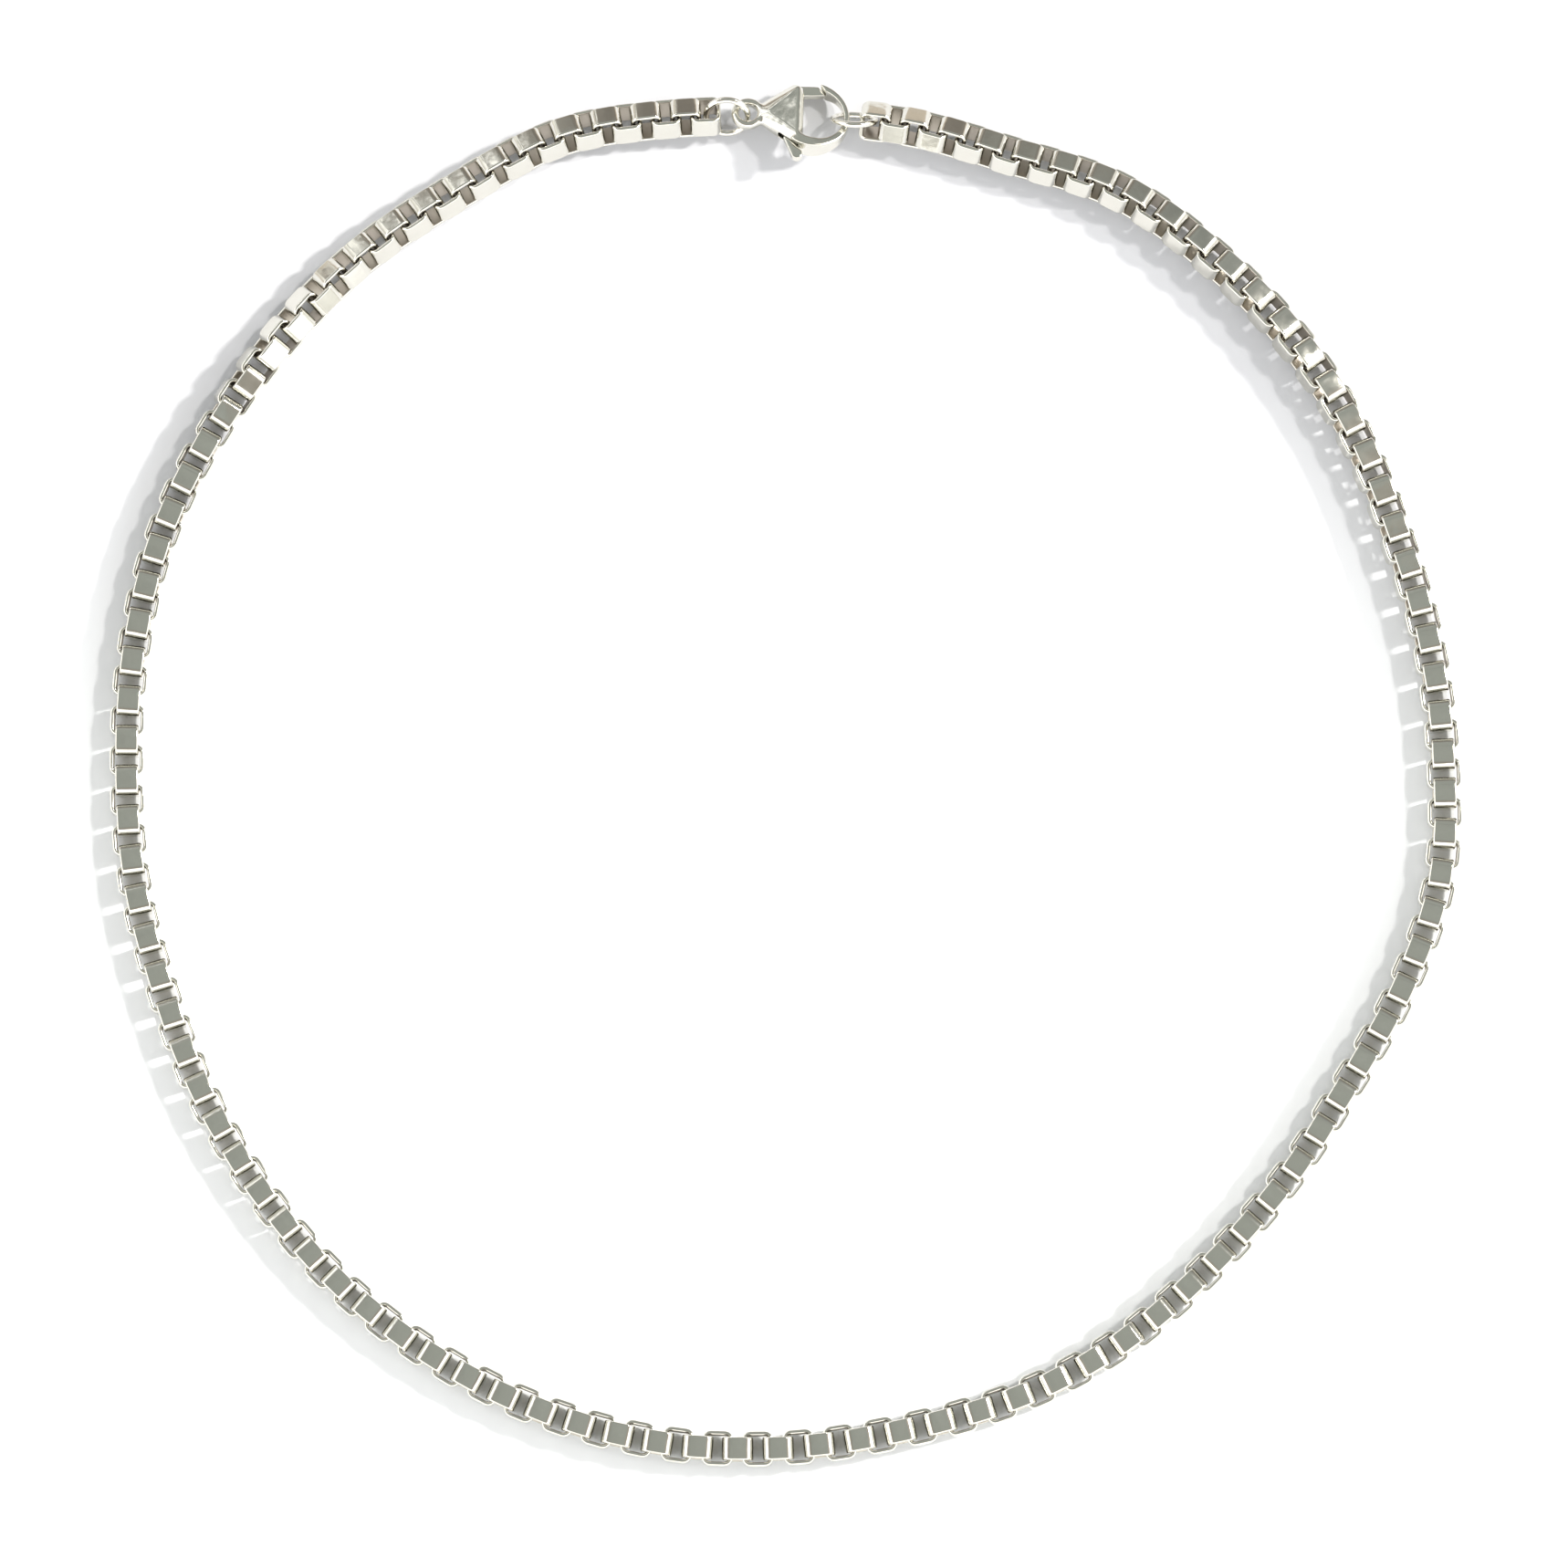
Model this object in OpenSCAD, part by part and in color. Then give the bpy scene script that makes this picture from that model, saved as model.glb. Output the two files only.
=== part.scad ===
// Box chain necklace, lying in a ring on a flat surface and closed by a lobster clasp.
// Millimetres. +Z is up from the surface, +Y points from the loop's middle to the clasp.

/* [Links] */
// Number of links, odd so that both ends of the chain lie the same way
link_count = 203; // [151:2:231]
// Length of a link along the chain
link_length = 3.45; // [3.2:0.05:4]
// Height of a link's loop across the chain
link_height = 3.85; // [3.7:0.05:4.6]
// Width of the flat strip that a link is bent from
strip_width = 2.45; // [1.8:0.05:2.45]
// Thickness of the strip
strip_thickness = 0.44; // [0.4:0.02:0.48]
// Outer radius of the strip's bends
bend_radius = 1; // [0.8:0.05:1.2]
// Inner radius of the strip's bends
inner_radius = 0.35; // [0.2:0.05:0.4]
// How far a link can slide inside the next one
link_play = 0.39; // [0.34:0.01:0.42]

/* [Jump rings] */
// Outer diameter of both jump rings
ring_diameter = 5.3; // [5.2:0.1:5.6]
// Wire diameter of both jump rings
ring_wire = 0.7; // [0.6:0.05:0.75]
// Lean of the ring at the clasp's eye, from upright towards the loop's outside
eye_ring_lean = 44; // [36:1:50]
// Lean of the ring at the hook, from upright towards the loop's middle
hook_ring_lean = 22; // [18:1:24]
// Gap between the hook and the ring that hangs in it
hook_ring_gap = 0.8; // [0.7:0.05:0.9]
// Room that a link's end wall has in its jump ring
end_link_gap = 0.42; // [0.38:0.02:0.46]

/* [Clasp body] */
// Outer radius of the hook
hook_radius = 3.9; // [3.7:0.1:4.6]
// Thickness of the hook at its nose, where the ring hangs
nose_thickness = 0.65; // [0.5:0.05:0.8]
// Thickness of the hook at its spine
spine_thickness = 1.05; // [0.9:0.05:1.3]
// Thickness of the hook at its tip
tip_thickness = 0.8; // [0.7:0.05:1]
// Depth of the hook where it leaves the body
spine_depth = 2.9; // [2.4:0.1:3]
// Depth of the hook at its nose
nose_depth = 1.2; // [1:0.1:1.4]
// Length of the faceted body, from its neck to its end face
body_length = 4.9; // [4.6:0.1:5.6]
// Width of the faceted body at its ridge
body_width = 7; // [6.8:0.1:7.4]
// Depth of the faceted body at its ridge
body_depth = 3.1; // [2.9:0.1:3.6]
// Distance from the hook's centre back to the body's end face
end_face_back = 1.2; // [0.9:0.1:1.4]
// Distance of the body's middle line from the hook's centre line
body_offset = 0.45; // [0.3:0.05:0.6]
// Outer diameter of the eye
eye_diameter = 3.7; // [3.5:0.1:4.4]
// Thickness of the eye's ring
eye_wire = 0.85; // [0.7:0.05:0.95]
// Depth of the eye's ring
eye_depth = 1.3; // [1:0.1:1.5]
// Lean of the clasp's top face towards the loop's outside
clasp_lean = 19; // [8:1:22]

/* [Lever] */
// Thickness of the lever
lever_thickness = 0.9; // [0.7:0.05:1.1]
// Clearance at each side of the lever in its slot
slot_clearance = 0.12; // [0.08:0.01:0.2]
// Diameter of the pin that the lever turns on
pin_diameter = 0.9; // [0.7:0.05:1.1]
// Clearance all round the pin
pin_clearance = 0.05; // [0.03:0.01:0.08]
// Radius of the lever's hub
hub_radius = 1.1; // [0.9:0.05:1.2]
// Thickness of the gate that closes the hook
gate_thickness = 1.1; // [0.8:0.05:1.2]
// Gap between the gate's end and the hook's tip
gate_gap = 0.1; // [0.06:0.02:0.16]
// Length of the thumb tab
tab_length = 3.2; // [2.6:0.1:3.6]
// Width of the thumb tab at its round end
tab_width = 1.3; // [1.1:0.1:1.4]
// Thickness of the thumb tab
tab_thickness = 1; // [0.9:0.1:1.6]

/* [Hidden] */
$fn = 48;

// Route of the chain: distance of its middle from the loop's centre in mm,
// every ten degrees clockwise from the top
route_radii = [71.8, 71.9, 71.8, 73.2, 73.0, 72.7, 72.1, 71.4, 71.5, 71.8, 72.4, 71.5,
               70.5, 70.9, 71.7, 73.0, 73.7, 74.0, 74.8, 75.5, 75.7, 75.5, 75.1, 74.3,
               73.5, 72.7, 72.6, 72.4, 72.8, 73.2, 73.1, 73.1, 73.3, 73.2, 73.9, 72.7];
// Angle of the hook's centre on the route, clockwise from the top
hook_angle = 2.3;

// Roll of the links about the chain's middle line: share of the chain, and degrees
roll_table = [[0, -45], [0.01, -43], [0.03, -30], [0.075, -28], [0.1, -20], [0.125, -17],
              [0.15, -10], [0.19, -4], [0.22, 0], [0.839, 0], [0.907, 58], [0.96, 58], [1, 54]];
// Most that a link sits above the next one
link_step = 0.03;

// How the links are bunched up and drawn out: share of the chain, and shift along it in pitches
slack_table = [[0, 0], [0.25, -0.97], [0.5, 0.4], [0.78, 0.74], [0.89, 0], [1, 0]];

route_step = 360 / len(route_radii);
link_pitch = link_length - 2 * strip_thickness - link_play;
ring_radius = (ring_diameter - ring_wire) / 2;
ring_hole = ring_radius - ring_wire / 2;

// Places along the clasp, from the hook's centre towards the first link
end_link_reach = sqrt(ring_hole ^ 2 - (strip_width / 2) ^ 2) + link_length / 2 - strip_thickness
                 - end_link_gap;
hook_ring_x = hook_radius - nose_thickness - hook_ring_gap + ring_hole;
eye_radius = (eye_diameter - eye_wire) / 2;
neck_x = -end_face_back - body_length;
eye_x = neck_x - eye_radius + eye_wire / 4;
eye_ring_x = eye_x - ring_radius;
first_link_x = hook_ring_x + end_link_reach;
last_link_x = eye_ring_x - end_link_reach;

// Length of the closed line through all links and the clasp
loop_length = (link_count - 1) * link_pitch + first_link_x - last_link_x;

// Smooth closed route: a cubic through four neighbouring radii
function route_radius(a) =
    let (k = a / route_step, i = floor(k), t = k - i, n = len(route_radii),
         p = [for (j = [-1:2]) route_radii[((i + j) % n + n) % n]])
    p[1] + t / 2 * (p[2] - p[0] + t * (2 * p[0] - 5 * p[1] + 4 * p[2] - p[3]
                                       + t * (3 * (p[1] - p[2]) + p[3] - p[0])));
function route_point(a) = route_radius(a) * [sin(a), cos(a)];
sample_angles = [for (a = [0:360]) hook_angle + a];
sample_steps = [for (a = sample_angles) norm(route_point(a + 1) - route_point(a))];
distance_table = [for (i = 0, d = 0; i < len(sample_angles); d = d + sample_steps[i], i = i + 1)
                      [d, sample_angles[i]]];
route_length = distance_table[len(distance_table) - 1][0];
route_scale = loop_length / route_length;
function loop_point(d) = route_scale * route_point(lookup(d / route_scale, distance_table));
function heading(v) = atan2(v[1], v[0]);

// Half the height that a strip loop takes up at a roll
function half_rise(roll) = link_height / 2 * abs(cos(roll)) + strip_width / 2 * abs(sin(roll));
function chain_z(roll) = max(half_rise(roll), half_rise(roll + 90));
first_roll = roll_table[0][1];
last_roll = roll_table[len(roll_table) - 1][1];
end_z = max(chain_z(first_roll), chain_z(last_roll));

// Height of a leaning ring's middle: its lowest point rests on the surface
function ring_z(lean) = max(end_z, ring_radius * cos(lean) + ring_wire / 2);

// Each link's place, heading, roll and height
last = link_count - 1;
link_distances = [for (i = [0:last]) first_link_x + link_pitch * (i + lookup(i / last, slack_table))];
link_places = [for (d = link_distances) loop_point(d)];
link_headings = [for (d = link_distances)
                     heading(loop_point(d + link_pitch / 2) - loop_point(d - link_pitch / 2))];
link_rolls = [for (i = [0:last]) lookup(i / last, roll_table)];
step_reach = ceil(link_height / 2 / link_step);
resting_heights = [for (i = [0:last]) i == 0 ? ring_z(hook_ring_lean)
                                      : i == last ? ring_z(eye_ring_lean) : chain_z(link_rolls[i])];
link_heights = [for (i = [0:last])
                    max([for (j = [max(0, i - step_reach):min(last, i + step_reach)])
                             resting_heights[j] - link_step * abs(i - j)])];

// The clasp lies on the chord between the chain's two ends
chord = link_places[0] - link_places[last];
clasp_heading = heading(chord);
clasp_place = link_places[last] - last_link_x * chord / norm(chord);

// Sections of the faceted body: share of its length from the neck, then shares of its half width and
// half depth: flat top's width, full width, full depth and side edge's depth
body_sections = [[0, 0.12, 0.29, 0.4, 0.22], [0.21, 0.04, 0.5, 0.68, 0.3], [0.55, 0.4, 0.82, 0.4, 0.4],
                 [0.76, 0.5, 1, 0.8, 0.5], [0.88, 0.84, 0.95, 1, 0.45], [1, 0.6, 0.86, 0.74, 0.4]];
slice = 0.01;

// Outline of the hook's opening, off centre so that the wall thins from the spine to the nose
opening_radius = hook_radius - (spine_thickness + tip_thickness) / 2;
opening_x = hook_radius - nose_thickness - opening_radius;
opening_y = (spine_thickness - tip_thickness) / 2;

// The notch between gate and tip: its outer and inner end
notch_outer = [0.12 * hook_radius, hook_radius];
notch_inner = [0.36 * hook_radius, 0.66 * hook_radius];
notch_heading = heading(notch_inner - notch_outer);

// The hook's tip: how far out it reaches and how deep it is
tip_y = sqrt(hook_radius ^ 2 - notch_outer[0] ^ 2);
tip_depth = spine_depth - notch_outer[0] / hook_radius * (spine_depth - nose_depth);

// The lever's pivot and the tab's place
pivot = [-end_face_back - 0.35 * body_length, body_offset + 0.05 * body_width];
tab_heading = -54;
tab_tip_radius = 0.15;
tab_end = [-0.46 * hook_radius, -1.13 * hook_radius];
tab_tip = tab_end - (tab_length - tab_width / 2 - tab_tip_radius) * [cos(tab_heading), sin(tab_heading)];
tab_arm_root_radius = 0.62 * hub_radius;
tab_arm_share = 0.7;
tab_arm_end_radius = 0.3 * tab_width;

// The gate's outline: where its back leaves the hub, its shoulder, and how far its inner side sags
gate_back = pivot + [-hub_radius, 0.4 * hub_radius];
gate_shoulder = [-0.56 * hook_radius, hook_radius];
gate_sag = 0.1;

// The slot: its depth, the room round the hub, the spine's root, and its side towards the neck,
// which leaves the lever free to swing by 14 degrees
slot_depth = lever_thickness + 2 * slot_clearance;
slot_reach = 1.2 * hook_radius;
hub_room = 1.2 * hub_radius;
spine_root = [-end_face_back - 0.1 * hook_radius, -0.55 * hook_radius];
slot_back_low = [pivot[0] - 0.15 * hook_radius, -slot_reach];

// Height at which the spine leaves the body's end face
spine_top = -0.45 * hook_radius;

// Height of the clasp's middle: the lowest edge of its body or of its hook's tip rests on the surface
ridge = body_sections[4];
clasp_z = max(end_z, tip_y * sin(clasp_lean) + tip_depth / 2 * cos(clasp_lean),
              (body_offset + ridge[1] * body_width / 2) * sin(clasp_lean)
              + ridge[3] * body_depth / 2 * cos(clasp_lean));

// Origin under the middle of the whole loop's outer size
function leaned(y, z) = y * cos(clasp_lean) + z * sin(clasp_lean);
clasp_edges = [for (section = body_sections)
                   (neck_x + section[0] * body_length) * sin(clasp_heading) + cos(clasp_heading)
                   * leaned(body_offset + section[2] * body_width / 2, section[4] * body_depth / 2)];
loop_x = [for (p = link_places) p[0]];
loop_y = [for (p = link_places) p[1]];
outer_y = max(max(loop_y) + end_z, clasp_place[1] + max(clasp_edges),
              clasp_place[1] + notch_outer[0] * sin(clasp_heading)
              + leaned(tip_y, tip_depth / 2) * cos(clasp_heading));
loop_middle = [(max(loop_x) + min(loop_x)) / 2, (outer_y + min(loop_y) - link_height / 2) / 2, 0];

// Places of the rings' middles across the clasp's line, outwards
eye_ring_y = 0.1;
hook_ring_y = 0.15;

module rounded_outline(length, height, radius) {
    square([length - 2 * radius, height], center = true);
    square([length, height - 2 * radius], center = true);
    for (x = [-1, 1], y = [-1, 1])
        translate([x * (length / 2 - radius), y * (height / 2 - radius)])
            circle(radius);
}

// One link: a flat strip bent to a rounded rectangle, standing on its edge
module link() {
    rotate([90, 0, 0])
        linear_extrude(strip_width, center = true)
            difference() {
                rounded_outline(link_length, link_height, bend_radius);
                rounded_outline(link_length - 2 * strip_thickness, link_height - 2 * strip_thickness,
                                inner_radius);
            }
}

module chain() {
    color("silver")
        translate(-loop_middle)
            for (i = [0:last])
                translate([link_places[i][0], link_places[i][1], link_heights[i]])
                    rotate([link_rolls[i] + 90 * (i % 2), 0, link_headings[i]])
                        link();
}

// Puts a piece that is drawn from the hook's centre into its place in the loop, at a height
module at_clasp(z) {
    translate([clasp_place[0], clasp_place[1], z] - loop_middle)
        rotate([0, 0, clasp_heading])
            children();
}

module jump_ring() {
    rotate_extrude()
        translate([ring_radius, 0])
            circle(d = ring_wire);
}

module ring_eye() {
    color("gainsboro")
        at_clasp(ring_z(eye_ring_lean))
            translate([eye_ring_x, eye_ring_y, 0])
                rotate([90 - eye_ring_lean, 0, 0])
                    jump_ring();
}

module ring_hook() {
    color("gainsboro")
        at_clasp(ring_z(hook_ring_lean))
            translate([hook_ring_x, hook_ring_y, 0])
                rotate([90 + hook_ring_lean, 0, 0])
                    jump_ring();
}

module body_slice(section) {
    flat = section[1] * body_width / 2;
    wide = section[2] * body_width / 2;
    deep = section[3] * body_depth / 2;
    side = section[4] * body_depth / 2;
    translate([neck_x + section[0] * body_length - slice / 2, body_offset, 0])
        rotate([90, 0, 90])
            linear_extrude(slice)
                polygon([[flat, deep], [wide, side], [wide, -side], [flat, -deep],
                         [-flat, -deep], [-wide, -side], [-wide, side], [-flat, deep]]);
}

module faceted_body() {
    hull()
        for (section = body_sections)
            body_slice(section);
}

module eye() {
    translate([eye_x, body_offset, 0])
        rotate_extrude()
            translate([eye_radius, 0]) {
                square([eye_wire, eye_depth - eye_wire], center = true);
                for (z = [-1, 1])
                    translate([0, z * (eye_depth - eye_wire) / 2])
                        circle(d = eye_wire);
            }
}

// The hook from above: a ring, open to the body and cut at the tip's slanted end
module hook_outline() {
    difference() {
        circle(hook_radius);
        translate([opening_x, opening_y])
            circle(opening_radius);
        translate(notch_outer)
            rotate(notch_heading)
                translate([-hook_radius, -2 * hook_radius])
                    square(2 * hook_radius);
        translate([-end_face_back - 2 * hook_radius, spine_top])
            square(2 * hook_radius);
    }
}

// The hook from its side: deep at the spine and thinner towards the nose
module hook_profile() {
    polygon([[-hook_radius, spine_depth / 2], [0, spine_depth / 2], [hook_radius, nose_depth / 2],
             [hook_radius, -nose_depth / 2], [0, -spine_depth / 2], [-hook_radius, -spine_depth / 2]]);
}

module hook() {
    intersection() {
        linear_extrude(spine_depth, center = true)
            hook_outline();
        rotate([90, 0, 0])
            linear_extrude(3 * hook_radius, center = true)
                hook_profile();
    }
}

// The slot that the lever swings in, open at the end face and at both sides of the body
module slot() {
    linear_extrude(slot_depth, center = true)
        polygon([pivot + [-hub_room, hub_radius], [pivot[0], slot_reach], [0, slot_reach],
                 [0, spine_root[1]], spine_root, [spine_root[0], -slot_reach],
                 slot_back_low, pivot + [-hub_room, -hub_radius / 2]]);
}

module clasp_body() {
    color("silver")
        at_clasp(clasp_z)
            rotate([-clasp_lean, 0, 0]) {
                difference() {
                    union() {
                        faceted_body();
                        eye();
                        hook();
                    }
                    slot();
                }
                translate(pivot)
                    cylinder(d = pin_diameter, h = slot_depth + pin_diameter, center = true);
            }
}

// The gate arm from above: from the hub up to the hook's tip
module gate_outline() {
    tip_top = notch_outer - gate_gap * [1, 0];
    slant = notch_inner - notch_outer;
    tip_low = tip_top + slant * gate_thickness / abs(slant[1]);
    polygon([gate_back, gate_shoulder, tip_top, tip_low,
             [-end_face_back, hook_radius - gate_thickness - gate_sag], pivot + [hub_radius, 0]]);
}

module tab_outline() {
    hull() {
        translate(tab_tip)
            circle(tab_tip_radius, $fn = 32);
        translate(tab_end)
            circle(d = tab_width, $fn = 32);
    }
}

module tab_arm_outline() {
    hull() {
        translate(pivot)
            circle(tab_arm_root_radius, $fn = 32);
        translate(tab_tip + tab_arm_share * (tab_end - tab_tip))
            circle(tab_arm_end_radius, $fn = 32);
    }
}

module clasp_lever() {
    color("gray")
        at_clasp(clasp_z)
            rotate([-clasp_lean, 0, 0])
                difference() {
                    union() {
                        linear_extrude(lever_thickness, center = true) {
                            translate(pivot)
                                circle(hub_radius);
                            gate_outline();
                            tab_arm_outline();
                        }
                        linear_extrude(tab_thickness, center = true)
                            tab_outline();
                    }
                    translate(pivot)
                        cylinder(d = pin_diameter + 2 * pin_clearance, h = 2 * lever_thickness, center = true);
                }
}

chain();
clasp_body();
clasp_lever();
ring_eye();
ring_hook();
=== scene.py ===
import math

import bmesh
import bpy
import mathutils
import numpy as np
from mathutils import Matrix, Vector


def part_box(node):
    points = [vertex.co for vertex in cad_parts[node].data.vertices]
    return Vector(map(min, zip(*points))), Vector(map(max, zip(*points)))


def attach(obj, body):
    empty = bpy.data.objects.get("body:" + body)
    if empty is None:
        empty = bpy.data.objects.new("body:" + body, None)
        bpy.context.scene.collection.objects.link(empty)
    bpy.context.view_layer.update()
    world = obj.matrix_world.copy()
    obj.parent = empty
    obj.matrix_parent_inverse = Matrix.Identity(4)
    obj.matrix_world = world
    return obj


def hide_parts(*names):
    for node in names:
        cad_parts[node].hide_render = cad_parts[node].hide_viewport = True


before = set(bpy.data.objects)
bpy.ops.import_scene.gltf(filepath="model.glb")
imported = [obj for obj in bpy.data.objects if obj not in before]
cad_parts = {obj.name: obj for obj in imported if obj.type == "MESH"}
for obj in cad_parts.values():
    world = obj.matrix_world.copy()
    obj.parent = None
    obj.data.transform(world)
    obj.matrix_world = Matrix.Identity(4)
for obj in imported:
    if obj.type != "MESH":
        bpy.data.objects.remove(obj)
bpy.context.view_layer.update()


# CHAIN LINKS
# Each link is a flat strip of sterling silver, bent round to a rounded oblong, soldered and polished.
# Every second link stands a quarter turn round, so that each one runs through the next.
# Sizes are in millimetres, and places on the loop are distances clockwise from the hook's centre.
MM = 0.001
LINK_COUNT = 203
LINK_LENGTH, LINK_HEIGHT = 3.45, 3.85
SOLID_STRIP_WIDTH, SOLID_STRIP_THICKNESS = 2.45, 0.44
# The solids keep more room between links than the real chain has, so the strip is drawn wider and
# thicker than theirs, and the bends' outer radius is 0.05 smaller
DRAWN_LARGER = 0.05
STRIP_WIDTH = SOLID_STRIP_WIDTH + DRAWN_LARGER
STRIP_THICKNESS = SOLID_STRIP_THICKNESS + DRAWN_LARGER
OUTER_RADIUS, INNER_RADIUS = 0.95, 0.35
BEND_STEPS = 4
EDGE_ROUNDING, EDGE_SEGMENTS, SHARP_FROM = 0.2, 3, math.radians(40)
LINK_PLAY = 0.39
LINK_PITCH = LINK_LENGTH - 2 * SOLID_STRIP_THICKNESS - LINK_PLAY
# A link lies at most this much lower than the next one
LINK_STEP = 0.03
# Each link is turned at random by up to this many degrees, because links hang loose in each other
LOOSE_ANGLE, LOOSE_SEED = 0.8, 11

# The jump rings, where their middles are, how far the hook's ring leans, and the end links' room in them
RING_DIAMETER, RING_WIRE = 5.3, 0.7
RING_RADIUS = (RING_DIAMETER - RING_WIRE) / 2
HOOK_RING_PLACE, EYE_RING_PLACE = 4.4, -9.6125
HOOK_RING_LEAN = math.radians(22)
END_LINK_GAP = 0.42
END_LINK_REACH = (math.sqrt((RING_RADIUS - RING_WIRE / 2) ** 2 - (SOLID_STRIP_WIDTH / 2) ** 2)
                  + LINK_LENGTH / 2 - SOLID_STRIP_THICKNESS - END_LINK_GAP)
FIRST_LINK_PLACE = HOOK_RING_PLACE + END_LINK_REACH
LAST_LINK_PLACE = EYE_RING_PLACE - END_LINK_REACH
LOOP_LENGTH = (LINK_COUNT - 1) * LINK_PITCH + FIRST_LINK_PLACE - LAST_LINK_PLACE
FIRST_LINK_HEIGHT = RING_RADIUS * math.cos(HOOK_RING_LEAN) + RING_WIRE / 2

# Angle of the hook's centre, in degrees clockwise from the top
HOOK_ANGLE = 2.3
# Distance of the chain from the loop's middle, every ten degrees clockwise from the top
ROUTE_RADII = np.array([71.8, 71.9, 71.8, 73.2, 73.0, 72.7, 72.1, 71.4, 71.5, 71.8, 72.4, 71.5,
                        70.5, 70.9, 71.7, 73.0, 73.7, 74.0, 74.8, 75.5, 75.7, 75.5, 75.1, 74.3,
                        73.5, 72.7, 72.6, 72.4, 72.8, 73.2, 73.1, 73.1, 73.3, 73.2, 73.9, 72.7])
# Share of the chain, and the links' roll there in degrees
ROLL_TABLE = np.array([[0, -45], [0.01, -43], [0.03, -30], [0.075, -28], [0.1, -20], [0.125, -17],
                       [0.15, -10], [0.19, -4], [0.22, 0], [0.839, 0], [0.907, 58], [0.96, 58], [1, 54]])
# Share of the chain, and how far the links there are shifted along it, in pitches
SLACK_TABLE = np.array([[0, 0], [0.25, -0.97], [0.5, 0.4], [0.78, 0.74], [0.89, 0], [1, 0]])

# Tarnish with painted shade on the links' inner faces, patches of haze half a link long, and scratches
# that run slantwise over the piece
TARNISH_AND_PAINTED_SHADE, TARNISH_ROUGHNESS = "#beb6aa", 0.36
HAZE_SIZE = 1.7
SCRATCH_WIDTH, SCRATCH_DEPTH = 0.11, 0.0006
SCRATCH_TURN, SCRATCH_STRETCH = (0.3, 0.2, 0.7), (0.12, 1.0, 0.4)
# Nearly all of a noise's values lie between these
NOISE_LOW, NOISE_HIGH = 0.3, 0.7


def route_point(degrees):
    """A smooth closed line: at each angle, the distance is a cubic through the four nearest radii."""
    place = np.asarray(degrees) / (360 / len(ROUTE_RADII))
    step = np.floor(place).astype(int)
    t = place - step
    p0, p1, p2, p3 = (ROUTE_RADII[(step + k) % len(ROUTE_RADII)] for k in (-1, 0, 1, 2))
    radius = p1 + t / 2 * (p2 - p0 + t * (2 * p0 - 5 * p1 + 4 * p2 - p3 + t * (3 * (p1 - p2) + p3 - p0)))
    angle = np.radians(degrees)
    return radius[..., None] * np.stack([np.sin(angle), np.cos(angle)], -1)


def loop_point(place):
    """The point at a place on the loop: the line above, measured in steps of a degree from the hook and
    scaled until it is as long as the chain and the clasp."""
    angles = HOOK_ANGLE + np.arange(361)
    steps = np.linalg.norm(route_point(angles[:-1] + 1) - route_point(angles[:-1]), axis=1)
    lengths = np.concatenate([[0], np.cumsum(steps)])
    scale = LOOP_LENGTH / lengths[-1]
    return scale * route_point(np.interp(place / scale, lengths, angles))


def turn_about(axis, angles):
    """One turning matrix for each angle, about the X axis (0) or the Z axis (2)."""
    c, s = np.cos(angles), np.sin(angles)
    turn = np.zeros((len(angles), 3, 3))
    turn[:, axis, axis] = 1
    a, b = [k for k in range(3) if k != axis]
    turn[:, a, a] = turn[:, b, b] = c
    turn[:, a, b], turn[:, b, a] = -s, s
    return turn


def closed_grid(rows, columns):
    """The quads of a grid of points whose last row is followed by the first, and its columns too. A quad's
    corners are a point, the next row's, the next row's in the next column, and its own row's there."""
    row, column = np.meshgrid(np.arange(rows), np.arange(columns), indexing="ij")
    next_row, next_column = (row + 1) % rows, (column + 1) % columns
    return np.stack([row * columns + column, next_row * columns + column,
                     next_row * columns + next_column, row * columns + next_column], -1)


def bent_strip():
    """A strip's four edges carried round two rounded oblongs in the XZ plane, the outer one and one that is
    smaller by the strip's thickness: each corner is a quarter arc. Returns points, quads, and for each
    quad's corner how much tarnish and painted shade it gets: 1 on the inner face, which polishing misses
    and where shade falls, and 0 elsewhere."""
    turn = np.linspace(0, math.pi / 2, BEND_STEPS + 1)
    quarter = np.arange(4)[:, None] * math.pi / 2 + turn
    normal = np.stack([np.cos(quarter), np.sin(quarter)], -1)
    signs = np.array([[1, 1], [-1, 1], [-1, -1], [1, -1]])
    half = np.array([LINK_LENGTH, LINK_HEIGHT]) / 2
    outer, inner = ((signs * (half - inset - radius))[:, None] + radius * normal
                    for inset, radius in ((0, OUTER_RADIUS), (STRIP_THICKNESS, INNER_RADIUS)))
    around = np.stack([outer, outer, inner, inner], 2).reshape(-1, 4, 2)
    side = np.broadcast_to(np.array([-1, 1, 1, -1]) * STRIP_WIDTH / 2, around.shape[:2])
    points = np.stack([around[..., 0], side, around[..., 1]], -1)
    quads = closed_grid(*points.shape[:2])
    unpolished_and_shaded = np.zeros(quads.shape)
    unpolished_and_shaded[:, 2] = 1  # from the third edge to the fourth, which are the inner ones
    return points.reshape(-1, 3), quads.reshape(-1, 4), unpolished_and_shaded.reshape(-1)


def piece_from(name, points, faces):
    """A new object at the origin from arrays of points in millimetres and of quads."""
    mesh = bpy.data.meshes.new(name)
    mesh.from_pydata((points * MM).tolist(), [], faces.tolist())
    mesh.shade_smooth()
    piece = bpy.data.objects.new(name, mesh)
    bpy.context.scene.collection.objects.link(piece)
    return piece


def soften_edges(piece):
    """Rounds a piece's sharp edges, as tumbling and polishing do, and keeps its flats flat."""
    bevel = piece.modifiers.new("polished_edges", "BEVEL")
    bevel.limit_method = "ANGLE"
    bevel.angle_limit = SHARP_FROM
    bevel.width = EDGE_ROUNDING * MM
    bevel.segments = EDGE_SEGMENTS
    weighted = piece.modifiers.new("flat_faces", "WEIGHTED_NORMAL")
    weighted.keep_sharp = True
    weighted.weight = 100


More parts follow.
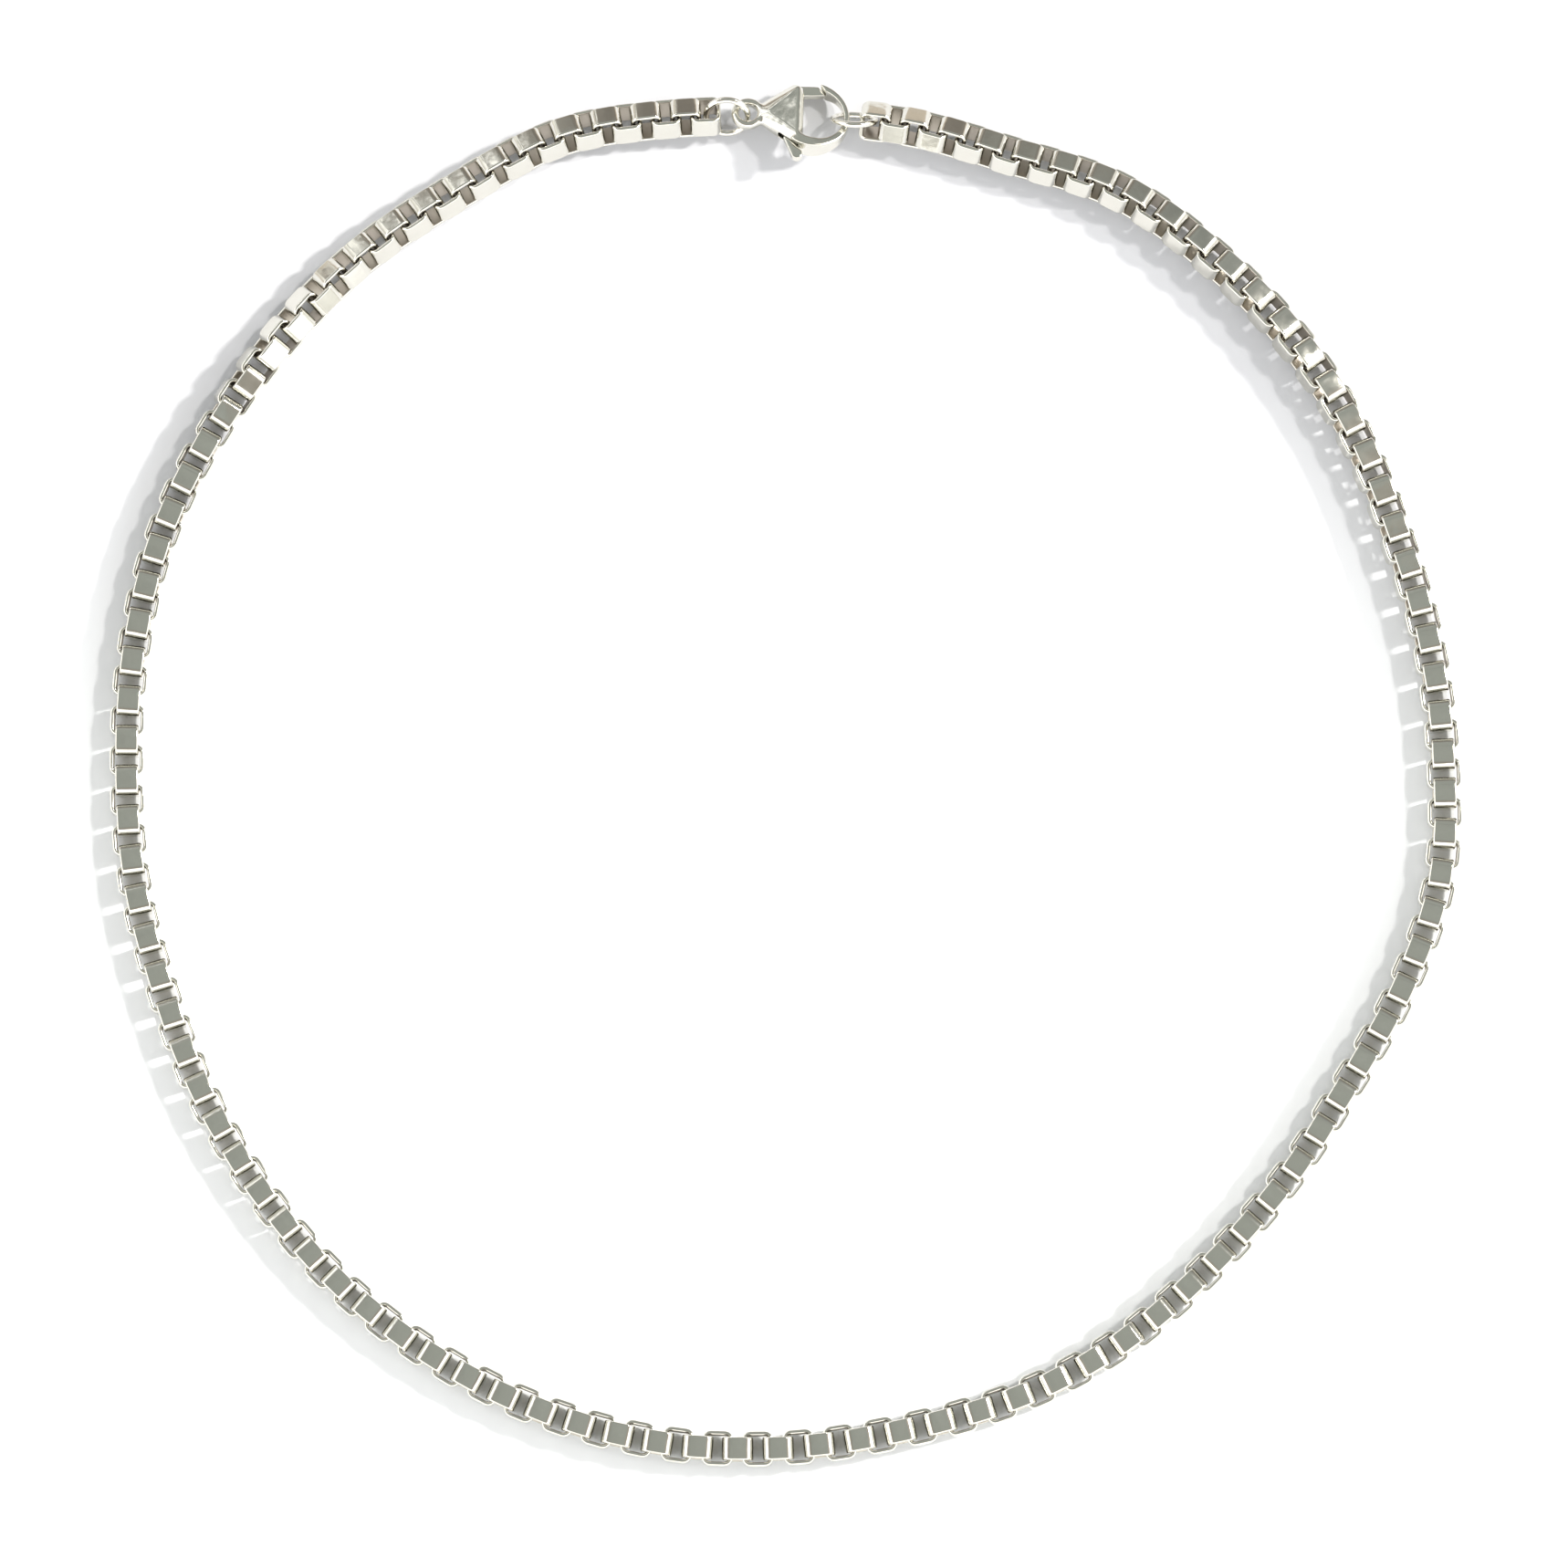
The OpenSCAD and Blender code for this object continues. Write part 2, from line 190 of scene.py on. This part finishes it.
def linear(hex_colour):
    """Turns an sRGB hex colour to linear red, green, blue and 1."""
    parts = np.array([int(hex_colour[k:k + 2], 16) for k in (1, 3, 5)]) / 255
    parts = np.where(parts <= 0.04045, parts / 12.92, ((parts + 0.055) / 1.055) ** 2.4)
    return (*parts.tolist(), 1.0)


def add_node(tree, kind, inputs=(), **settings):
    """Adds a node with its settings. inputs maps a socket's name or number to a value or to a socket."""
    node = tree.nodes.new(kind)
    for name, value in settings.items():
        setattr(node, name, value)
    for name, value in dict(inputs).items():
        if isinstance(value, bpy.types.NodeSocket):
            tree.links.new(value, node.inputs[name])
        else:
            node.inputs[name].default_value = value
    return node


def polished_silver(name, colours, roughness, hollow_size, hollow_depth):
    """Sterling silver, polished on a wheel: a mirror with soft hollows from the mop, fine handling scratches
    that are drawn coarser than the real ones so that they show, and dull brown tarnish where a piece's
    recess attribute says that the wheel can't reach; that tarnish is also painted shade, for the shade
    inside the links. The haze moves between the two colours and between the two roughnesses."""
    material = bpy.data.materials.new(name)
    material.use_nodes = True
    tree = material.node_tree
    shader = tree.nodes["Principled BSDF"]
    shader.inputs["Metallic"].default_value = 1.0
    where = add_node(tree, "ShaderNodeTexCoord").outputs["Object"]
    unpolished_and_shaded = add_node(tree, "ShaderNodeAttribute", attribute_name="recess").outputs["Fac"]
    haze = add_node(tree, "ShaderNodeTexNoise", {
        "Vector": where, "Scale": 1 / (HAZE_SIZE * MM), "Detail": 2.0, "Roughness": 0.5}).outputs["Fac"]
    tone = add_node(tree, "ShaderNodeMix", {
        "Factor": haze, "A": linear(colours[0]), "B": linear(colours[1])}, data_type="RGBA")
    # Tarnish and painted shade on the faces that the recess attribute marks
    tarnish_and_shade = add_node(tree, "ShaderNodeMix", {
        "Factor": unpolished_and_shaded, "A": tone.outputs["Result"], "B": linear(TARNISH_AND_PAINTED_SHADE)}, data_type="RGBA")
    shine = add_node(tree, "ShaderNodeMapRange", {
        "Value": haze, "From Min": NOISE_LOW, "From Max": NOISE_HIGH,
        "To Min": roughness[0], "To Max": roughness[1]})
    dull = add_node(tree, "ShaderNodeMix", {
        "Factor": unpolished_and_shaded, "A": shine.outputs["Result"], "B": TARNISH_ROUGHNESS})
    ripple = add_node(tree, "ShaderNodeTexNoise", {
        "Vector": where, "Scale": 1 / (hollow_size * MM), "Detail": 1.0, "Roughness": 0.4})
    hollows = add_node(tree, "ShaderNodeBump", {
        "Height": ripple.outputs["Fac"], "Distance": hollow_depth * MM, "Strength": 1.0})
    stretch = add_node(tree, "ShaderNodeMapping", {
        "Vector": where, "Rotation": SCRATCH_TURN, "Scale": SCRATCH_STRETCH})
    scratch = add_node(tree, "ShaderNodeTexNoise", {
        "Vector": stretch.outputs["Vector"], "Scale": 1 / (SCRATCH_WIDTH * MM), "Detail": 2.0,
        "Roughness": 0.6})
    scratches = add_node(tree, "ShaderNodeBump", {
        "Height": scratch.outputs["Fac"], "Distance": SCRATCH_DEPTH * MM, "Strength": 1.0,
        "Normal": hollows.outputs["Normal"]})
    tree.links.new(tarnish_and_shade.outputs["Result"], shader.inputs["Base Color"])
    tree.links.new(dull.outputs["Result"], shader.inputs["Roughness"])
    tree.links.new(scratches.outputs["Normal"], shader.inputs["Normal"])
    return material


# Each link's place, heading and roll
order = np.arange(LINK_COUNT)
share = order / (LINK_COUNT - 1)
link_place = FIRST_LINK_PLACE + LINK_PITCH * (order + np.interp(share, *SLACK_TABLE.T))
link_middle = loop_point(link_place)
ahead = loop_point(link_place + LINK_PITCH / 2) - loop_point(link_place - LINK_PITCH / 2)
roll = np.radians(np.interp(share, *ROLL_TABLE.T))

# Each link's middle lies as high as it needs at its own roll, or LINK_STEP lower than its neighbour's if
# that is higher. The first link hangs in its ring.
resting_height = np.maximum(LINK_HEIGHT * np.cos(roll) + SOLID_STRIP_WIDTH * np.abs(np.sin(roll)),
                            LINK_HEIGHT * np.abs(np.sin(roll)) + SOLID_STRIP_WIDTH * np.cos(roll)) / 2
resting_height[0] = FIRST_LINK_HEIGHT
link_height = (resting_height[None] - LINK_STEP * np.abs(order[:, None] - order[None])).max(1)

# All links as one array of points, moved to the middle of the CAD chain's box and kept above its floor
loose = np.radians(np.random.default_rng(LOOSE_SEED).uniform(-LOOSE_ANGLE, LOOSE_ANGLE, (2, LINK_COUNT)))
link_heading = np.arctan2(ahead[:, 1], ahead[:, 0]) + loose[0]
link_roll = roll + np.radians(90) * (order % 2) + loose[1]
strip_points, strip_quads, strip_unpolished_and_shaded = bent_strip()
link_turn = turn_about(2, link_heading) @ turn_about(0, link_roll)
link_points = np.einsum("nij,pj->npi", link_turn, strip_points)
link_points += np.column_stack([link_middle, link_height])[:, None]
link_quads = strip_quads[None] + (order * len(strip_points))[:, None, None]
chain_points = link_points.reshape(-1, 3)
low, high = (np.array(corner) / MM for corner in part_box("chain"))
chain_points[:, :2] += ((low + high) / 2 - (chain_points.min(0) + chain_points.max(0)) / 2)[:2]
chain_points[:, 2] = np.maximum(chain_points[:, 2], low[2])

chain_links = piece_from("chain_links", chain_points, link_quads.reshape(-1, 4))
# The links' inner faces get tarnish and painted shade
recess = chain_links.data.attributes.new("recess", "FLOAT", "CORNER")
recess.data.foreach_set("value", np.tile(strip_unpolished_and_shaded, LINK_COUNT))
soften_edges(chain_links)
chain_links.data.materials.append(polished_silver(
    "polished_sterling_silver_strip", ("#e4e2d9", "#dbd9cf"), roughness=(0.08, 0.17),
    hollow_size=1.1, hollow_depth=0.024))
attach(chain_links, "necklace")
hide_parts("chain")


# JUMP RINGS
# Round silver wire, wound to a ring and closed: one ties the last link to the clasp's eye, and the other
# hangs in the hook and holds the first link.
RING_STEPS, WIRE_STEPS = 96, 20


def points_of(mesh):
    """A mesh's points, one to a row, in the mesh's own unit."""
    points = np.empty(len(mesh.vertices) * 3)
    mesh.vertices.foreach_get("co", points)
    return points.reshape(-1, 3)


def wire_ring(name, node):
    """A wire's round section carried round a circle that lies in the CAD ring's own plane, which is found
    from the ring's points: the plane's normal is the direction in which they spread least."""
    points = points_of(node.data) / MM
    middle = (points.min(0) + points.max(0)) / 2
    spread = np.linalg.svd(points - middle, full_matrices=False)[2]
    ring_axes = np.array([spread[0], spread[1], np.cross(spread[0], spread[1])])
    around, along = np.meshgrid(np.linspace(0, 2 * math.pi, RING_STEPS, endpoint=False),
                                np.linspace(0, 2 * math.pi, WIRE_STEPS, endpoint=False), indexing="ij")
    reach = RING_RADIUS + RING_WIRE / 2 * np.cos(along)
    local = np.stack([reach * np.cos(around), reach * np.sin(around), RING_WIRE / 2 * np.sin(along)], -1)
    quads = closed_grid(RING_STEPS, WIRE_STEPS)
    return piece_from(name, local.reshape(-1, 3) @ ring_axes + middle, quads.reshape(-1, 4))


# Drawn wire is smoother than the strip: its hollows are shallower, and it mirrors more sharply
wire_silver = polished_silver("polished_silver_wire", ("#efece4", "#e6e4db"), roughness=(0.07, 0.15),
                              hollow_size=0.9, hollow_depth=0.012)
for end in ("eye", "hook"):
    ring = wire_ring(f"jump_ring_{end}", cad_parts[f"ring_{end}"])
    ring.data.materials.append(wire_silver)
    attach(ring, "necklace")
    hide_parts(f"ring_{end}")


# CLASP BODY
# One silver casting: the eye, a pear-shaped body cut in facets, and the hook. The lever's pin crosses its
# slot, and filing and polishing have rounded its edges.
MERGE_DISTANCE = 0.002


def cast_copy(name, node, square_size, rounds):
    """A copy of a CAD node with rounded edges. Its doubles are merged, it is drawn again as even small
    squares, and each point is moved a number of times to the middle of its neighbours."""
    mesh = node.data.copy()
    mesh.materials.clear()
    mesh.vertices.foreach_set("co", (points_of(mesh) / MM).ravel())
    merged = bmesh.new()
    merged.from_mesh(mesh)
    bmesh.ops.remove_doubles(merged, verts=merged.verts, dist=MERGE_DISTANCE)
    merged.to_mesh(mesh)
    merged.free()
    rough = bpy.data.objects.new("rough_casting", mesh)
    bpy.context.scene.collection.objects.link(rough)
    squares = rough.modifiers.new("even_squares", "REMESH")
    squares.mode = "VOXEL"
    squares.voxel_size = square_size
    rounding = rough.modifiers.new("rounded_edges", "SMOOTH")
    rounding.iterations = rounds
    bpy.context.view_layer.update()
    fine = rough.evaluated_get(bpy.context.evaluated_depsgraph_get()).to_mesh()
    points = points_of(fine)
    corners = np.empty(len(fine.loops), dtype=int)
    fine.loops.foreach_get("vertex_index", corners)
    assert len(corners) == 4 * len(fine.polygons)
    bpy.data.objects.remove(rough)
    bpy.data.meshes.remove(mesh)
    return piece_from(name, points, corners.reshape(-1, 4))


# Cast silver polishes less evenly than the strip: its hollows are wide and deep, and reflections waver
cast_silver = polished_silver("polished_cast_silver", ("#e6e4db", "#dddbd1"), roughness=(0.08, 0.18),
                              hollow_size=1.3, hollow_depth=0.04)
clasp_body = cast_copy("clasp_casting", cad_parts["clasp_body"], square_size=0.065, rounds=70)
clasp_body.data.materials.append(cast_silver)
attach(clasp_body, "necklace")
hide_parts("clasp_body")


# CLASP LEVER
# A silver lever on a pin in the body's slot, pushed shut by a hidden spring. Its gate closes the hook, and
# its teardrop tab is for the thumb.
clasp_lever = cast_copy("clasp_lever_piece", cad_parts["clasp_lever"], square_size=0.05, rounds=50)
clasp_lever.data.materials.append(cast_silver)
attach(clasp_lever, "lever")
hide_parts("clasp_lever")


# FLOOR
# A square sheet of matt white paper on a pale table top. The sheet is a little larger than the picture,
# and it is drawn greyer on the clasp's side as painted shade, which makes the shadows there deeper.
SHEET_SIDE, TABLE_SIDE = 188, 3000
PAPER_WHITE, PAPER_PAINTED_SHADE, TABLE_COLOUR = "#eff1f3", "#cfd0d4", "#a29a90"
PAPER_ROUGHNESS, PAPER_SHEEN = 0.9, 0.1
PAINTED_SHADE_FROM_MIDDLE = 45

# Paper and painted board are rough and hardly shine, so they show as even white and pale brown; the
# paper's grey towards the clasp is painted shade
surface = bpy.data.materials.new("white_paper_on_pale_table")
surface.use_nodes = True
top = surface.node_tree
spot = add_node(top, "ShaderNodeTexCoord").outputs["Object"]
sides = add_node(top, "ShaderNodeVectorMath", {0: spot}, operation="ABSOLUTE")
side = add_node(top, "ShaderNodeSeparateXYZ", {"Vector": sides.outputs["Vector"]})
farthest = add_node(top, "ShaderNodeMath", {0: side.outputs["X"], 1: side.outputs["Y"]},
                    operation="MAXIMUM")
beyond = add_node(top, "ShaderNodeMath", {0: farthest.outputs["Value"], 1: SHEET_SIDE / 2 * MM},
                  operation="GREATER_THAN")
upward = add_node(top, "ShaderNodeSeparateXYZ", {"Vector": spot})
# Painted shade: the sheet turns grey from its middle towards the clasp's side
painted_shade = add_node(top, "ShaderNodeMapRange", {
    "Value": upward.outputs["Y"], "From Min": 0.0, "From Max": PAINTED_SHADE_FROM_MIDDLE * MM})
sheet = add_node(top, "ShaderNodeMix", {
    "Factor": painted_shade.outputs["Result"], "A": linear(PAPER_WHITE), "B": linear(PAPER_PAINTED_SHADE)},
    data_type="RGBA")
cover = add_node(top, "ShaderNodeMix", {
    "Factor": beyond.outputs["Value"], "A": sheet.outputs["Result"], "B": linear(TABLE_COLOUR)},
    data_type="RGBA")
paper = top.nodes["Principled BSDF"]
top.links.new(cover.outputs["Result"], paper.inputs["Base Color"])
paper.inputs["Roughness"].default_value = PAPER_ROUGHNESS
paper.inputs["Specular IOR Level"].default_value = PAPER_SHEEN
floor = piece_from("floor", np.array([[-1, -1, 0], [1, -1, 0], [1, 1, 0], [-1, 1, 0]]) * TABLE_SIDE / 2,
                   np.array([[0, 1, 2, 3]]))
floor.data.materials.append(surface)


# LIGHT
# A white tent with the camera's grey front at its top, a warm ring round that, and a dim room behind the
# clasp. The colours are linear, from the horizon (0) up to the camera (1).
TENT_STOPS = ((0.0, (0.95, 0.94, 0.89)), (0.2, (1.1, 1.1, 1.06)), (0.4, (2.1, 2.1, 2.1)),
              (0.73, (2.3, 2.3, 2.3)), (0.79, (0.43, 0.4, 0.355)), (0.945, (0.37, 0.355, 0.32)),
              (0.965, (0.4, 0.425, 0.405)), (1.0, (0.41, 0.435, 0.41)))
ROOM_STOPS = ((0.0, (0.27, 0.24, 0.21)), (0.25, (0.28, 0.26, 0.235)), (0.45, (0.33, 0.345, 0.325)),
              (0.8, (0.4, 0.425, 0.405)), (1.0, (0.41, 0.435, 0.41)))
# The way to the dim room, and the cosines of the angles from it where the room ends and where it is full
ROOM_WAY, ROOM_END, ROOM_FULL = (-0.15, 0.93, 0.35), 0.44, 0.58
# White gaps between the dim room's things: how fine they are, how much rarer they get to the right and
# how rare they are in the middle, and the noise's values between which a gap's edge lies
GAP_FINENESS, GAP_SLOPE, GAP_LEVEL = 11.0, 0.5, 0.22
GAP_EDGE = (0.5, 0.58)
# The tent's cloth is unevenly bright, in wide patches
CLOTH_FINENESS, CLOTH_DIMMEST, CLOTH_BRIGHTEST = 3.0, 0.8, 1.2
# Two lamps on the right, one lower than the other, that throw the double shadow to the left
LAMPS = {"low_lamp": ((1.45, 0.45, 1.0), 3.6), "high_lamp": ((0.75, 0.45, 1.0), 1.2)}
LAMP_WIDTH, LAMP_COLOUR = math.radians(5), (1.0, 0.97, 0.93)

world = bpy.data.worlds.new("white_tent")
world.use_nodes = True
bpy.context.scene.world = world
tent = world.node_tree
way = add_node(tent, "ShaderNodeTexCoord").outputs["Generated"]
parts = add_node(tent, "ShaderNodeSeparateXYZ", {"Vector": way})
tent_wall = add_node(tent, "ShaderNodeValToRGB", {"Fac": parts.outputs["Z"]})
room_wall = add_node(tent, "ShaderNodeValToRGB", {"Fac": parts.outputs["Z"]})
for wall, stops in ((tent_wall, TENT_STOPS), (room_wall, ROOM_STOPS)):
    for place, _ in stops[1:-1]:
        wall.color_ramp.elements.new(place)
    for element, (place, colour) in zip(wall.color_ramp.elements, stops):
        element.position, element.color = place, (*colour, 1)
toward = add_node(tent, "ShaderNodeVectorMath", {0: way, 1: ROOM_WAY}, operation="DOT_PRODUCT")
behind = add_node(tent, "ShaderNodeMapRange", {
    "Value": toward.outputs["Value"], "From Min": ROOM_END, "From Max": ROOM_FULL},
    interpolation_type="SMOOTHSTEP")
spots = add_node(tent, "ShaderNodeTexNoise", {"Vector": way, "Scale": GAP_FINENESS, "Detail": 1.0})
rarity = add_node(tent, "ShaderNodeMath", {0: parts.outputs["X"], 1: GAP_SLOPE, 2: GAP_LEVEL},
                  operation="MULTIPLY_ADD")
threshold = add_node(tent, "ShaderNodeMath", {0: spots.outputs["Fac"], 1: rarity.outputs["Value"]},
                     operation="SUBTRACT")
gaps = add_node(tent, "ShaderNodeMapRange", {
    "Value": threshold.outputs["Value"], "From Min": GAP_EDGE[0], "From Max": GAP_EDGE[1],
    "To Min": 1.0, "To Max": 0.0})
dim = add_node(tent, "ShaderNodeMath", {0: behind.outputs["Result"], 1: gaps.outputs["Result"]},
               operation="MULTIPLY")
shade = add_node(tent, "ShaderNodeMix", {
    "Factor": dim.outputs["Value"], "A": tent_wall.outputs["Color"], "B": room_wall.outputs["Color"]},
    data_type="RGBA")
cloth = add_node(tent, "ShaderNodeTexNoise", {"Vector": way, "Scale": CLOTH_FINENESS, "Detail": 2.0})
uneven = add_node(tent, "ShaderNodeMapRange", {
    "Value": cloth.outputs["Fac"], "From Min": NOISE_LOW, "From Max": NOISE_HIGH,
    "To Min": CLOTH_DIMMEST, "To Max": CLOTH_BRIGHTEST})
tent.links.new(shade.outputs["Result"], tent.nodes["Background"].inputs["Color"])
tent.links.new(uneven.outputs["Result"], tent.nodes["Background"].inputs["Strength"])

for name, (slant, strength) in LAMPS.items():
    lamp = bpy.data.lights.new(name, "SUN")
    lamp.energy = strength
    lamp.angle = LAMP_WIDTH
    lamp.color = LAMP_COLOUR
    lamp_object = bpy.data.objects.new(name, lamp)
    lamp_object.rotation_euler = mathutils.Vector(slant).to_track_quat("Z", "Y").to_euler()
    bpy.context.scene.collection.objects.link(lamp_object)


# CAMERA
# High above the necklace with a long lens, and tilted six degrees from straight down, as the photograph
# is. The picture is PICTURE_WIDTH wide at the necklace, and AIM is the point in its middle.
DISTANCE, TILT = 1500, math.radians(6)
PICTURE_WIDTH, FILM_WIDTH = 171.8, 36
AIM = np.array([-0.205, -1.376, 2.2])
NEAREST, FARTHEST = 100, 10000
lens = bpy.data.cameras.new("camera")
lens.sensor_width = FILM_WIDTH
lens.lens = FILM_WIDTH * DISTANCE / PICTURE_WIDTH
lens.clip_start, lens.clip_end = NEAREST * MM, FARTHEST * MM
camera = bpy.data.objects.new("camera", lens)
camera.location = (AIM + DISTANCE * np.array([0, -math.sin(TILT), math.cos(TILT)])) * MM
camera.rotation_euler = (TILT, 0, 0)
bpy.context.scene.collection.objects.link(camera)
bpy.context.scene.camera = camera
bpy.context.scene.view_settings.view_transform = "Standard"
